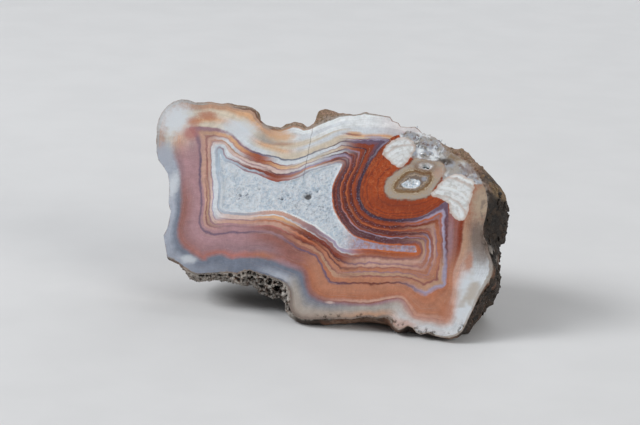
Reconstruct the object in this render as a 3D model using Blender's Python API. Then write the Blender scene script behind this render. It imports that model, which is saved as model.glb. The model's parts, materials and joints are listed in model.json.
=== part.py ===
"""A polished piece of banded agate: one natural stone with a sawn and polished face and a rough skin behind it.

The stone is laid out in face coordinates, in millimetres: u runs to the right along the polished face, v up
along it, and w goes straight into the stone behind it. It is then leaned back and set down on z = 0.
"""

import math

import bmesh
import bpy
from mathutils import Vector, noise

MM = 0.001

# How the stone stands: the polished face leans back, and its foot is just clear of the table
LEAN = math.radians(40.0)
FOOT_CLEARANCE = 1.0

# Thickness behind the face: it grows from the thin left end to the thick right end
MIDDLE_THICKNESS = 17.0
THICKNESS_PER_MM = 0.16

# The side walls curve in towards this line inside the stone
SPINE_LEFT = (-21.0, 25.0)
SPINE_RIGHT = (17.0, 20.0)
RINGS = 22
RING_SPACING = 1.35
BACK_CLOSES_AT = 0.93
WALL_FULLNESS = 0.62
DEPTH_FULLNESS = 0.9

# The underside: how low it comes under the right part, how much the left end is raised, and the overhang in front
LOW_LEVEL = 0.15
LEFT_RISE = 4.4
LEFT_RISE_LENGTH = 22.0
OVERHANG_SLOPE = 0.27

# Relief of the rough skin: size of the lumps, and how far they stand out
COARSE_SIZE, COARSE_HEIGHT = 7.5, 1.15
FINE_SIZE, FINE_HEIGHT = 2.6, 0.55
UNDERSIDE_SHARE = 0.75

# The quartz in the middle of the face lies a little below the polish
DRUSE_DEPTH = 0.45

# Edge of the polished face, clockwise from its lower left corner
LEFT_EDGE = [
    (-26.0, 9.8), (-27.0, 12.4), (-27.5, 13.8), (-27.1, 15.2), (-27.1, 18.6), (-27.9, 20.3), (-28.2, 22.2),
    (-28.6, 24.2), (-29.2, 25.9), (-30.2, 27.1), (-31.5, 28.4), (-32.2, 30.0), (-32.5, 31.6), (-32.8, 33.2),
    (-33.2, 35.0), (-33.2, 36.6), (-32.8, 38.2), (-32.1, 39.5), (-31.1, 40.5),
]
TOP_EDGE = [
    (-29.8, 41.1), (-28.4, 41.1), (-27.0, 40.7), (-25.5, 40.7), (-24.0, 41.1), (-22.4, 40.8), (-20.8, 41.0),
    (-19.4, 40.5), (-17.9, 40.3), (-16.4, 40.5), (-15.3, 39.9), (-14.8, 38.9), (-14.0, 38.1), (-13.0, 37.4),
    (-11.7, 36.8), (-10.2, 36.6), (-9.1, 37.1), (-8.0, 37.7), (-6.8, 37.6), (-5.7, 37.1), (-4.7, 37.4),
    (-3.6, 38.2), (-2.3, 38.9), (-1.0, 39.6), (0.2, 40.4), (1.8, 40.7), (3.4, 40.9), (4.7, 41.4), (6.5, 41.3),
    (8.3, 41.1), (9.5, 41.0), (10.1, 40.2), (11.2, 39.9), (11.7, 39.2), (13.0, 39.2), (14.3, 39.4), (15.1, 38.9),
    (15.8, 38.2), (17.0, 38.0), (18.2, 37.6), (19.2, 36.9), (19.9, 36.0), (20.7, 35.2), (21.8, 34.6), (23.2, 33.9),
    (24.6, 33.2), (25.7, 32.3),
]
RIGHT_EDGE = [
    (26.6, 31.2), (27.6, 30.0), (28.5, 28.6), (29.1, 27.0), (29.4, 25.2), (29.4, 23.2), (29.2, 21.2), (29.5, 19.4),
    (30.3, 18.2), (30.6, 17.0), (31.2, 15.8), (31.8, 14.4), (32.0, 12.8), (31.7, 11.2), (30.9, 9.6), (30.3, 8.0),
    (29.8, 6.2), (29.3, 4.4), (28.9, 2.8), (28.4, 1.4), (27.6, 0.5),
]
FOOT_EDGE = [
    (26.4, 0.0), (25.1, -0.1), (23.8, 0.1), (22.6, 0.5), (21.5, 0.0), (20.6, 0.3), (19.8, 1.1), (18.9, 1.4),
    (18.2, 0.9), (17.4, 0.4), (16.6, 1.0), (16.0, 2.0), (15.2, 2.6), (14.2, 2.5), (13.2, 2.1), (11.9, 2.3),
    (10.4, 2.0), (9.0, 1.5), (7.4, 1.4), (6.0, 1.3), (4.6, 1.2), (3.2, 0.9), (1.8, 0.7), (0.4, 0.6), (-0.8, 0.9),
    (-1.8, 1.8),
]
MATRIX_EDGE = [
    (-2.4, 3.0), (-2.4, 4.4), (-2.8, 5.7), (-3.6, 6.8), (-4.8, 7.5), (-6.2, 7.8), (-7.6, 8.2), (-9.0, 8.4),
    (-10.4, 8.8), (-11.6, 8.7), (-12.8, 8.0), (-14.2, 8.1), (-15.6, 7.9), (-17.0, 7.6), (-18.4, 7.4), (-19.8, 7.1),
    (-21.2, 7.5), (-22.5, 8.2), (-23.8, 9.0), (-25.0, 9.5),
]
FACE_EDGE = LEFT_EDGE + TOP_EDGE + RIGHT_EDGE + FOOT_EDGE + MATRIX_EDGE

# Edge of the quartz druse, clockwise from its upper left corner
DRUSE_EDGE = [
    (-19.5, 29.8), (-17.5, 29.4), (-16.0, 28.3), (-13.5, 27.5), (-11.0, 26.6), (-8.8, 26.3), (-6.5, 26.8),
    (-4.6, 27.4), (-3.0, 28.9), (-1.2, 29.9), (1.0, 30.7), (2.2, 30.8), (1.7, 28.6), (1.35, 26.4), (1.7, 24.0),
    (2.4, 21.9), (3.8, 19.6), (5.6, 17.9), (8.0, 16.8), (11.0, 16.3), (15.0, 16.4), (17.6, 16.6), (18.1, 16.0),
    (17.4, 15.3), (14.0, 14.9), (10.0, 15.1), (7.0, 14.7), (5.2, 14.7), (4.1, 15.8), (2.6, 16.9), (0.2, 17.9),
    (-2.2, 19.3), (-4.5, 20.0), (-7.2, 20.6), (-10.0, 20.3), (-13.5, 19.9), (-17.6, 20.0), (-18.1, 22.5),
    (-18.9, 26.4),
]

# Bulges and hollows of the skin: centre (u, v, w), reach, and height along the surface's own direction
BULGES = {
    "matrix_left": (-12.5, 6.5, 3.5, 5.0, 1.6),
    "matrix_right": (-6.5, 4.6, 3.5, 4.6, 2.9),
    "right_flank_top": (31.0, 27.0, 7.0, 5.5, 3.0),
    "right_flank_middle": (32.0, 20.5, 8.0, 4.5, 2.8),
    "right_flank_low": (32.0, 13.0, 7.0, 4.5, 0.8),
    "broken_hollow": (30.0, 23.5, 2.2, 2.4, -1.8),
    "golden_skin": (22.8, 34.8, 3.2, 3.6, 2.0),
    "right_shoulder": (28.0, 32.0, 4.5, 4.0, 2.5),
    "brown_peak": (-2.2, 40.0, 2.0, 2.2, 4.4),
    "left_fringe": (-24.0, 41.0, 1.8, 3.6, 1.3),
    "middle_fringe": (-17.0, 40.4, 1.8, 3.0, 1.6),
    "dip_fringe": (-9.0, 37.2, 1.8, 3.2, 1.2),
    "heel": (10.0, 12.0, 19.0, 9.0, 4.0),
    "left_back": (-16.0, 24.0, 12.0, 8.0, 1.4),
    "middle_back": (0.0, 30.0, 14.0, 7.0, -1.6),
    "right_back": (15.0, 26.0, 19.0, 8.0, 1.8),
}

# Small open pockets in the face: centre (u, v), half width, and depth
POCKETS = {
    "druse_pit": (-2.8, 24.0, 0.75, 1.0),
    "eye_pocket": (15.3, 28.3, 1.3, 0.8),
    "shoulder_pocket": (17.3, 31.9, 0.7, 1.2),
}

# Open bubbles in the crust under the left part: centre (u, v), depth behind the face, and radius
BUBBLES = {
    "bubble_left": (-15.6, 6.9, 1.7, 0.75),
    "bubble_left_low": (-13.2, 6.8, 3.2, 0.8),
    "bubble_middle_left": (-11.3, 7.6, 1.9, 0.85),
    "bubble_middle_low": (-10.0, 6.3, 3.4, 0.9),
    "bubble_middle": (-8.4, 7.1, 2.0, 0.8),
    "bubble_middle_right": (-6.9, 6.0, 2.9, 0.9),
    "bubble_right": (-5.3, 6.3, 1.6, 0.75),
    "bubble_right_low": (-4.6, 4.7, 3.2, 0.85),
    "cleft": (-2.9, 3.3, 1.4, 0.8),
}


def to_world(u, v, w):
    """A point in face coordinates, in millimetres, as a place above the table, in metres."""
    y = v * math.sin(LEAN) + w * math.cos(LEAN)
    z = FOOT_CLEARANCE + v * math.cos(LEAN) - w * math.sin(LEAN)
    return Vector((u, y, z)) * MM


def smooth_step(x):
    x = min(max(x, 0.0), 1.0)
    return x * x * (3.0 - 2.0 * x)


def low_level(point):
    """How low the underside may come at a point's place over the table, in metres."""
    rise = LEFT_RISE * smooth_step(-point.x / MM / LEFT_RISE_LENGTH)
    overhang = FOOT_CLEARANCE - OVERHANG_SLOPE * point.y / MM
    return max(LOW_LEVEL + rise, overhang) * MM


def spine_point(u, v):
    """The point of the spine that the wall behind the edge point (u, v) curves in to."""
    start, end = Vector(SPINE_LEFT), Vector(SPINE_RIGHT)
    along = end - start
    share = (Vector((u, v)) - start).dot(along) / along.length_squared
    return start + along * min(max(share, 0.0), 1.0)


def wall_point(edge_point, ring):
    """Where the wall behind an edge point is at this ring, before bulges and roughness."""
    angle = (ring / RINGS) ** RING_SPACING * BACK_CLOSES_AT * math.pi / 2
    inward = 1.0 - math.cos(angle) ** WALL_FULLNESS
    place = Vector(edge_point).lerp(spine_point(*edge_point), inward)
    thickness = MIDDLE_THICKNESS + THICKNESS_PER_MM * place.x
    point = to_world(place.x, place.y, thickness * math.sin(angle) ** DEPTH_FULLNESS)
    if ring:
        point.z = max(point.z, low_level(point))
    return point


def skin_mesh():
    """The face, the rings of wall behind it and the cap at the back, as one closed bmesh."""
    shape = bmesh.new()
    rings = [[shape.verts.new(wall_point(p, ring)) for p in FACE_EDGE] for ring in range(RINGS + 1)]
    count = len(FACE_EDGE)
    for near, far in zip(rings, rings[1:]):
        for i in range(count):
            j = (i + 1) % count
            shape.faces.new((near[i], near[j], far[j], far[i]))
    shape.faces.new(list(reversed(rings[0])))
    cap = shape.faces.new(rings[-1])
    bmesh.ops.triangulate(shape, faces=[cap])
    bmesh.ops.recalc_face_normals(shape, faces=shape.faces)
    return shape, rings


def bulge_height(point):
    """The height of all bulges at a point, in millimetres."""
    total = 0.0
    for u, v, w, reach, height in BULGES.values():
        distance = (point - to_world(u, v, w)).length / (reach * MM)
        total += height * math.exp(-distance * distance)
    return total


def roughness(point):
    """The lumps and hollows of the rough skin at a point, in millimetres."""
    coarse = noise.noise(point / (COARSE_SIZE * MM)) * COARSE_HEIGHT
    fine = noise.noise(point / (FINE_SIZE * MM)) * FINE_HEIGHT
    return coarse + fine


def roughen(shape, rings):
    """Moves the wall out by the bulges and the roughness, and levels what would go under the table."""
    shape.normal_update()
    moves = []
    for number, ring in enumerate(rings[1:], start=1):
        grip = min(1.0, 0.35 + 0.35 * number)
        for vert in ring:
            share = UNDERSIDE_SHARE if vert.normal.z < -0.9 else 1.0
            height = bulge_height(vert.co) + roughness(vert.co) * share
            moves.append((vert, vert.normal * height * grip * MM))
    for vert, move in moves:
        vert.co += move
        vert.co.z = max(vert.co.z, 0.0)


def centre_on_origin(objects, body):
    """Moves every object so that the stone's box stands on the origin."""
    xs = [vert.co.x for vert in body.data.vertices]
    ys = [vert.co.y for vert in body.data.vertices]
    middle = Vector(((min(xs) + max(xs)) / 2, (min(ys) + max(ys)) / 2, 0.0))
    for obj in objects:
        for vert in obj.data.vertices:
            vert.co -= middle


def stone_material():
    material = bpy.data.materials.new("banded_agate")
    material.use_nodes = True
    surface = material.node_tree.nodes["Principled BSDF"]
    surface.inputs["Base Color"].default_value = (0.42, 0.20, 0.13, 1.0)
    surface.inputs["Roughness"].default_value = 0.3
    surface.inputs["Metallic"].default_value = 0.0
    return material


def add_object(name, shape):
    mesh = bpy.data.meshes.new(name)
    shape.to_mesh(mesh)
    shape.free()
    obj = bpy.data.objects.new(name, mesh)
    bpy.context.scene.collection.objects.link(obj)
    return obj


def make_cutter(name, shape):
    obj = add_object(name, shape)
    obj.hide_render = True
    obj.display_type = "WIRE"
    return obj


def druse_cutter():
    """A slab of the druse's outline, from in front of the face to the druse's floor."""
    shape = bmesh.new()
    front = [shape.verts.new(to_world(u, v, -1.0)) for u, v in DRUSE_EDGE]
    back = [shape.verts.new(to_world(u, v, DRUSE_DEPTH)) for u, v in DRUSE_EDGE]
    count = len(DRUSE_EDGE)
    for i in range(count):
        j = (i + 1) % count
        shape.faces.new((front[i], front[j], back[j], back[i]))
    shape.faces.new(front)
    shape.faces.new(list(reversed(back)))
    bmesh.ops.recalc_face_normals(shape, faces=shape.faces)
    return make_cutter("druse_cutter", shape)


def pocket_cutter(name, u, v, half_width, depth):
    """A rounded plug that leaves a pocket of this half width and depth."""
    shape = bmesh.new()
    bmesh.ops.create_icosphere(shape, subdivisions=2, radius=1.0)
    right, up, inward = (to_world(*axis) - to_world(0, 0, 0) for axis in ((1, 0, 0), (0, 1, 0), (0, 0, 1)))
    centre = to_world(u, v, 0.0)
    for vert in shape.verts:
        x, y, z = vert.co
        vert.co = centre + (right * x + up * y) * half_width * 1.1 + inward * z * depth
    shape.normal_update()
    bmesh.ops.recalc_face_normals(shape, faces=shape.faces)
    return make_cutter(name, shape)


def bubble_cutter(name, u, v, w, radius):
    """A ball that leaves one open bubble in the crust."""
    shape = bmesh.new()
    bmesh.ops.create_icosphere(shape, subdivisions=2, radius=radius * MM)
    bmesh.ops.translate(shape, verts=shape.verts, vec=to_world(u, v, w))
    return make_cutter(name, shape)


def cut(body, cutter):
    modifier = body.modifiers.new(cutter.name, "BOOLEAN")
    modifier.operation = "DIFFERENCE"
    modifier.object = cutter


def main():
    for obj in list(bpy.data.objects):
        bpy.data.objects.remove(obj)
    shape, rings = skin_mesh()
    roughen(shape, rings)
    agate = add_object("agate", shape)
    agate.data.materials.append(stone_material())
    cutters = [druse_cutter()]
    cutters += [pocket_cutter(name, *sizes) for name, sizes in POCKETS.items()]
    cutters += [bubble_cutter(name, *sizes) for name, sizes in BUBBLES.items()]
    centre_on_origin([agate, *cutters], agate)
    for cutter in cutters:
        cut(agate, cutter)


main()
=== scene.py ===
import json
import math

import bmesh
import bpy
import numpy as np
from mathutils import Matrix, Vector, geometry, kdtree, noise


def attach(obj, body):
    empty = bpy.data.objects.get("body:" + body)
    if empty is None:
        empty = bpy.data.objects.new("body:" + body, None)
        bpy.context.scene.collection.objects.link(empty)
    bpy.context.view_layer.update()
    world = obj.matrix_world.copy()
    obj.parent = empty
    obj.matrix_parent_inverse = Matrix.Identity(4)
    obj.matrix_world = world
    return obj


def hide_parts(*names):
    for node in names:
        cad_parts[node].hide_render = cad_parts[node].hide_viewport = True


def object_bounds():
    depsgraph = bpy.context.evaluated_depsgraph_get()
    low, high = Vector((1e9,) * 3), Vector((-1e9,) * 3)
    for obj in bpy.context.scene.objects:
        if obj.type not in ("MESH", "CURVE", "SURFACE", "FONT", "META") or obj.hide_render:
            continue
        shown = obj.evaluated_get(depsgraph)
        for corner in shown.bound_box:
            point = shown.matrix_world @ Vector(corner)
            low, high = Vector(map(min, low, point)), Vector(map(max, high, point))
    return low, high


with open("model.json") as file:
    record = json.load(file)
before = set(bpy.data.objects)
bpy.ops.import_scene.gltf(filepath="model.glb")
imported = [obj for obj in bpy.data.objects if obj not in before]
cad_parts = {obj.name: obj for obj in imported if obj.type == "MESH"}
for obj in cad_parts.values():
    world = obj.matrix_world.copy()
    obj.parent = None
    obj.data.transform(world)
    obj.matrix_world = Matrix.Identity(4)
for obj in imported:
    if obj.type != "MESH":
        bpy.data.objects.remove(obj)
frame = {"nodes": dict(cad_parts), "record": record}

box_at_start = [list(corner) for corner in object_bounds()]


# Face coordinates
# The polished face is a flat cut. Places on it are given in millimetres: u to the right, v up along the face,
# and w straight into the stone. The record's face mount says where that plane is.

MM = 0.001
LEAN = math.radians(40.0)
MOUNT_PLACE = (10.0, 9.0)

AXIS_U = np.array((1.0, 0.0, 0.0))
AXIS_V = np.array((0.0, math.sin(LEAN), math.cos(LEAN)))
AXIS_W = np.array((0.0, math.cos(LEAN), -math.sin(LEAN)))
face_mount = next(mount for mount in frame["record"]["mounts"] if mount["name"] == "polished_face")
FACE_ORIGIN = np.array(face_mount["pos_m"]) - (AXIS_U * MOUNT_PLACE[0] + AXIS_V * MOUNT_PLACE[1]) * MM


def to_face(places):
    """Places in metres as (u, v, w) in millimetres."""
    offset = (np.asarray(places) - FACE_ORIGIN) / MM
    return np.stack((offset @ AXIS_U, offset @ AXIS_V, offset @ AXIS_W), axis=-1)


def to_world(places):
    """Places in (u, v, w) millimetres as places in metres."""
    places = np.asarray(places)
    u, v, w = places[..., 0:1], places[..., 1:2], places[..., 2:3]
    return FACE_ORIGIN + (u * AXIS_U + v * AXIS_V + w * AXIS_W) * MM


# Growth lines of the agate
# Agate grows inwards in layers, so its bands follow a few closed lines on the face. Every band is placed by
# how far it lies between two of them. All lines run clockwise.

def points_of(text):
    """Reads points such as -7 20.5, 3 8.25: the u and v of each, in millimetres."""
    return [tuple(float(part) for part in point.split()) for point in text.split(",")]


DRUSE_LINE = points_of(
    "-20.5 31.3, -19.5 29.6, -18.4 29.2, -17.2 28.8, -16.2 28.3, -15 27.7, -13 27.4, -11.9 27, -10 26.4, "
    "-9.1 26.2, -8 26.4, -6.2 26.9, -4.4 27.8, -3.4 28.8, -2 29.4, -0.3 30.1, 1.4 30.9, 2.3 30.8, 2.2 29.8, "
    "1.7 28.2, 1.35 26.1, 1.6 24.2, 2.3 21.9, 3.4 20.2, 5.1 18.3, 6.8 17.1, 9.4 16.35, 13 16, 17 16.3, "
    "18 16.2, 18.2 15.6, 18 15.1, 14 15, 10 15, 6.5 14.6, 4.7 14.8, 3.8 15.8, 2.4 16.7, 1 17.5, -0.2 18.3, "
    "-2 19, -4.6 20, -7.5 20.7, -10.3 20.4, -13 19.8, -17.6 20, -18.2 22.4, -18.7 25, -19.8 28.3, -20.2 30.3"
)
VIOLET_LINE = points_of(
    "-27 35.4, -25 35.8, -23 35.8, -21 35.6, -19 35, -17.2 33.6, -15 32.3, -13 31.7, -10 31.3, -8 30.85, "
    "-6 31.35, -4 32.4, -2 33.7, 0 34.8, 1.5 35.8, 5 36, 7.8 36.3, 9.9 36.4, 9.6 35.8, 9 35.2, 8.3 34, "
    "7.2 31.5, 6.4 28.8, 6.2 27.5, 6.2 26, 6.4 24.8, 6.9 23.7, 7.6 22.7, 8.5 21.9, 9.7 21.3, 11 20.95, "
    "12.5 20.8, 14 20.9, 15.5 21.15, 17 21.5, 18.3 22.1, 19.3 22.7, 20.2 23.6, 21.1 24.4, 22.1 25.4, "
    "22.4 24.5, 22.9 22, 23.3 18.5, 23.9 14.5, 24.2 12, 24.3 9.5, 23 8.6, 22 7.8, 20.7 7.1, 19 7.9, 17 8.9, "
    "15 8.7, 11 8.1, 8 7.9, 5.5 7.6, 4.2 7.7, 3.4 8.3, 2.8 9.2, 2.2 10.3, 1.5 11.4, 0.8 12.3, -0.5 13, "
    "-2 13.4, -3 13.7, -5 14.8, -8 16, -11 16, -13.5 15.6, -15.5 15.5, -17 15.1, -18.2 14.75, -19.5 15, "
    "-20.6 15.5, -21.3 16.3, -21.6 17.2, -21.8 20, -22.2 22, -22.6 23.2, -23 24.5, -23.5 27, -23.9 29.5, "
    "-24.6 31.5, -25.3 33.3, -26 34.2"
)
ROSE_LINE = points_of(
    "-29.3 34.5, -28 36.5, -26 37.6, -23 38.3, -20 38, -17.5 37, -15.5 35.5, -13 34, -10 33.6, -7 34, "
    "-4.5 35, -2.5 36.2, -0.5 37.5, 2 38.3, 5 38.5, 8 38.8, 10 38.8, 13 38.3, 16 37, 20 35.5, 24 33, "
    "26.5 30, 26.8 27, 26.3 24, 25.9 21.5, 26.1 17, 25.8 14.5, 25.4 12, 25.8 9, 25.8 5, 25.3 3, 23 3, "
    "20 3.1, 19.2 3.8, 18.3 5, 17 6.1, 15 5.8, 13 5, 11 4.6, 8 4.4, 4 4.3, 2 4.8, 0.6 5.8, -0.2 7.4, "
    "-0.7 8.8, -1.5 9.6, -3 9.9, -5 10.4, -7 11, -10 11.2, -12.5 11, -14 10.6, -15 10.8, -16.5 11.3, "
    "-18.5 10.6, -19 9.9, -20 10.1, -22 11.2, -23.5 12.2, -24.4 13.3, -25 14.5, -25.2 16, -25.2 18, "
    "-25.4 20, -25.6 21.5, -26 23, -26.3 24.5, -26.7 26, -27.2 27.5, -28 29, -28.8 30.5, -29.3 31.5, "
    "-29.5 33"
)


def smooth_line(points, step=0.12):
    """A closed smooth line through the points, as places about one step apart."""
    points = np.asarray(points, float)
    before, after, beyond = np.roll(points, 1, 0), np.roll(points, -1, 0), np.roll(points, -2, 0)
    line = []
    for p0, p1, p2, p3 in zip(before, points, after, beyond):
        count = max(1, math.ceil(np.linalg.norm(p2 - p1) / step))
        t = np.arange(count)[:, None] / count
        square, cube = 2 * p0 - 5 * p1 + 4 * p2 - p3, 3 * p1 - p0 - 3 * p2 + p3
        line.append(0.5 * (2 * p1 + (p2 - p0) * t + square * t**2 + cube * t**3))
    return np.concatenate(line)


def nearest_on(line, places):
    """For each place, the distance to the closed line and the position along it, both in millimetres."""
    tree = kdtree.KDTree(len(line))
    for i, (u, v) in enumerate(line):
        tree.insert((u, v, 0.0), i)
    tree.balance()
    index = np.array([tree.find((u, v, 0.0))[1] for u, v in places])
    length = np.linalg.norm(np.roll(line, -1, 0) - line, axis=1)
    start = np.concatenate(([0.0], np.cumsum(length)))[:-1]
    best = np.full(len(places), np.inf)
    along = np.zeros(len(places))
    for first in ((index - 1) % len(line), index):
        a, run = line[first], np.roll(line, -1, 0)[first] - line[first]
        share = np.clip(((places - a) * run).sum(1) / np.maximum((run * run).sum(1), 1e-12), 0.0, 1.0)
        distance = np.linalg.norm(places - a - run * share[:, None], axis=1)
        closer = distance < best
        best[closer] = distance[closer]
        along[closer] = (start[first] + length[first] * share)[closer]
    return best, along


def inside(line, places):
    """Whether each place is inside the closed line."""
    order = np.argsort(places[:, 1])
    u, v = places[order, 0], places[order, 1]
    result = np.zeros(len(places), bool)
    for (u1, v1), (u2, v2) in zip(line, np.roll(line, -1, 0)):
        if v1 == v2:
            continue
        low, high = np.searchsorted(v, (min(v1, v2), max(v1, v2)))
        crossing = u1 + (v[low:high] - v1) * (u2 - u1) / (v2 - v1)
        result[low:high] ^= u[low:high] < crossing
    unsorted = np.empty_like(result)
    unsorted[order] = result
    return unsorted


def depth_inside(points, places):
    """How far inside the closed line each place is, in millimetres, negative outside it."""
    line = smooth_line(points)
    distance, _ = nearest_on(line, places)
    return np.where(inside(line, places), distance, -distance)


# Rough skin of the stone
# The sides and back are the natural skin: lumpy brown rock, full of small open bubbles under the left part.
# The CAD model's skin is cut finer, rounded off and roughened, and its edge along the face stays where it is.

SKIN_EDGE = 0.62
FRONT_EDGE = 0.42
MATRIX_EDGE = 0.27
MERGE_DISTANCE = 0.002 * MM
FLATNESS, SAME_WAY = 0.005, 0.999
LONGEST_SHARE = 1.35
CUTTING_ROUNDS, SMOOTHING_ROUNDS = 5, 3
BUBBLE_SIZES = ((1.25, 0.75), (0.6, 0.3))
LUMP_SIZES = ((2.3, 0.22), (0.9, 0.12), (0.4, 0.05))


def smooth_step(low, high, x):
    """0 up to low, 1 from high on, and a smooth rise between them."""
    t = np.clip((np.asarray(x) - low) / (high - low), 0.0, 1.0)
    return t * t * (3.0 - 2.0 * t)


def matrix_share(places):
    """How much of the open, bubbly rock there is at places in face coordinates, from 0 to 1."""
    u, v, w = places[:, 0], places[:, 1], places[:, 2]
    across = smooth_step(-25.0, -20.0, u) * (1.0 - smooth_step(-2.2, -0.6, u))
    return across * (1.0 - smooth_step(9.5, 12.0, v - 0.35 * w)) * smooth_step(0.0, 0.25, w)


def wanted_edge(places):
    """The edge length that the skin needs at each place."""
    u, v, w = places[:, 0], places[:, 1], places[:, 2]
    edge = np.where((w < 9.0) & ((u > 18.0) | (v > 30.0)), FRONT_EDGE, SKIN_EDGE)
    edge = np.where(w < 1.2, MATRIX_EDGE + 0.05, edge)
    return np.where((matrix_share(places) > 0.1) & (w < 8.0), MATRIX_EDGE, edge)


skin = bmesh.new()
skin.from_mesh(frame["nodes"]["agate"].data)
bmesh.ops.remove_doubles(skin, verts=skin.verts, dist=MERGE_DISTANCE)
skin.faces.ensure_lookup_table()
outward = Vector(-AXIS_W)
flat = [
    face for face in skin.faces
    if face.normal.dot(outward) > SAME_WAY and all(abs(to_face(vert.co)[2]) < FLATNESS for vert in face.verts)
]
bmesh.ops.delete(skin, geom=flat, context="FACES")

# What is left is the skin and the loose linings of the pockets: the skin is the largest
groups, left = [], set(skin.verts)
while left:
    group, todo = [], [left.pop()]
    while todo:
        vert = todo.pop()
        group.append(vert)
        beside = {edge.other_vert(vert) for edge in vert.link_edges} & left
        left -= beside
        todo += beside
    groups.append(group)
groups.sort(key=len)
bmesh.ops.delete(skin, geom=[vert for group in groups[:-1] for vert in group], context="VERTS")

for _ in range(CUTTING_ROUNDS):
    ends = np.array([[end.co[:] for end in edge.verts] for edge in skin.edges])
    length = np.linalg.norm(ends[:, 0] - ends[:, 1], axis=1) / MM
    too_long = length > LONGEST_SHARE * wanted_edge(to_face(ends.mean(1)))
    long_edges = [edge for edge, is_long in zip(skin.edges, too_long) if is_long]
    bmesh.ops.subdivide_edges(skin, edges=long_edges, cuts=1)
    bmesh.ops.triangulate(skin, faces=[face for face in skin.faces if len(face.verts) > 3])

free = [vert for vert in skin.verts if not vert.is_boundary]
for _ in range(SMOOTHING_ROUNDS):
    bmesh.ops.smooth_vert(skin, verts=free, factor=0.5, use_axis_x=True, use_axis_y=True, use_axis_z=True)
skin.normal_update()


def skin_height(place, share):
    """How far the skin stands out at a place, and how deep in a bubble that is, in millimetres."""
    at = Vector(place)
    height, bubble = sum(noise.noise(at / size) * lump for size, lump in LUMP_SIZES), 0.0
    if share > 0.0:
        for size, depth in BUBBLE_SIZES:
            near, second = noise.voronoi(at / size + Vector((size, 3.0, 7.0)))[0][:2]
            open_share = min(max((second - near - 0.06) / 0.32, 0.0), 1.0)
            bubble += share * depth * open_share * open_share * (3.0 - 2.0 * open_share)
    return height - bubble, bubble


low_corner, high_corner = (np.array(corner) for corner in box_at_start)
places = to_face(np.array([vert.co for vert in free]))
grips = smooth_step(0.0, 0.5, places[:, 2])
hollow_of = {}
for vert, place, grip, share in zip(free, places, grips, matrix_share(places)):
    height, bubble = skin_height(place, share)
    vert.co = np.clip(np.array(vert.co + vert.normal * float(height * grip * MM)), low_corner, high_corner)
    hollow_of[vert] = bubble

# The rim of the face: the skin's open edge, as an ordered loop
rim_start = next(vert for vert in skin.verts if vert.is_boundary)
rim, came_from = [rim_start], None
while True:
    here = rim[-1]
    steps = [edge.other_vert(here) for edge in here.link_edges if edge.is_boundary]
    step = next(vert for vert in steps if vert is not came_from)
    if step is rim_start:
        break
    came_from = here
    rim.append(step)
skin.verts.index_update()
skin_places = np.array([vert.co for vert in skin.verts])
skin_faces = [[vert.index for vert in face.verts] for face in skin.faces]
skin_hollow = np.array([hollow_of.get(vert, 0.0) for vert in skin.verts])
rim_index = [vert.index for vert in rim]
rim_line = to_face(skin_places[rim_index])[:, :2]
skin.free()


# Polished face
# A flat cut through the agate, filled with a fine mesh of even triangles inside the rim, so that it carries
# the places of the bands. The quartz in its middle and the crystal pockets lie a little below the polish.

FACE_STEP = 0.24
MERGED_POINTS = 1e-7
CORE_LINE = points_of(
    "10.6 27.5, 10.9 28.6, 11.8 29.8, 13.2 31.1, 14.4 32, 15.2 33.2, 16.6 33.2, 18.6 33, 20.3 32.9, "
    "20.9 32.1, 21 30.7, 20.1 28.7, 19.3 26.7, 18.8 26, 16.9 25.2, 14.4 24.9, 12.4 24.9, 11.2 25.6, "
    "10.7 26.5"
)
RING_LINE = points_of(
    "12.5 27.2, 12.8 28.3, 13.7 29.5, 14.3 30.2, 15.8 30.7, 17.1 30.4, 18.3 30.5, 18.7 29.9, 18.5 28.6, "
    "17.6 27.4, 16.4 26.7, 14.2 26.5, 12.9 26.6"
)
CENTRE_LINE = points_of(
    "13.6 27.8, 14.3 28.6, 15.4 29.1, 16.6 28.9, 17 28.1, 16.4 27.5, 14.8 27.2"
)
LEFT_FAN_LINE = points_of(
    "9.3 33.5, 9.6 35, 10.8 36.4, 12.8 37.2, 14.4 36.5, 15.1 35.3, 14.6 33.7, 13.7 31.9, 12.8 31.1, "
    "11.7 31.5, 10.6 32.4"
)
RIGHT_FAN_LINE = points_of(
    "19.2 26.4, 20.1 28.2, 20.9 29.4, 21.7 30.3, 23.3 31, 24.7 30.5, 26.2 29.9, 26.6 28.6, 26.4 26.8, "
    "26.2 24.6, 26 22.7, 25.2 21.9, 24.5 22, 23.7 22.6, 22.9 23.5, 22.6 24.8, 21.6 25.5, 20.3 25.9"
)
# The eye fills the bay of the violet line, up to the crystals
EYE_BAY = VIOLET_LINE[VIOLET_LINE.index((9.0, 35.2)):VIOLET_LINE.index((22.1, 25.4)) + 1]
EYE_LINE = points_of(
    "9.9 36.4, 11.5 37.5, 14 37.5, 17 36.5, 20.5 34, 23.5 31.5, 24.5 28.5, 24.5 26.5"
) + EYE_BAY[::-1]
CRYSTAL_LINE = points_of(
    "11.8 37.4, 13 38.3, 15.5 38.3, 18.6 37.4, 20 36, 22.5 35.3, 26 33.2, 28.6 31.2, 28.6 29.6, 26.6 29.2, "
    "25 29.8, 23.3 30.2, 21.9 29.6, 20.8 29.2, 20.6 31, 20.3 32.6, 18.6 32.8, 16.5 33, 15.3 33, 14.4 33.6, "
    "14.6 34.8, 14 36.2"
)
WHITE_LINE = points_of(
    "27.4 12, 28.6 12.2, 29.8 11.4, 30.4 9.5, 29.8 7, 29 4.5, 27.8 3.2, 27 4.5, 26.9 7, 26.6 9.5"
)
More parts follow.
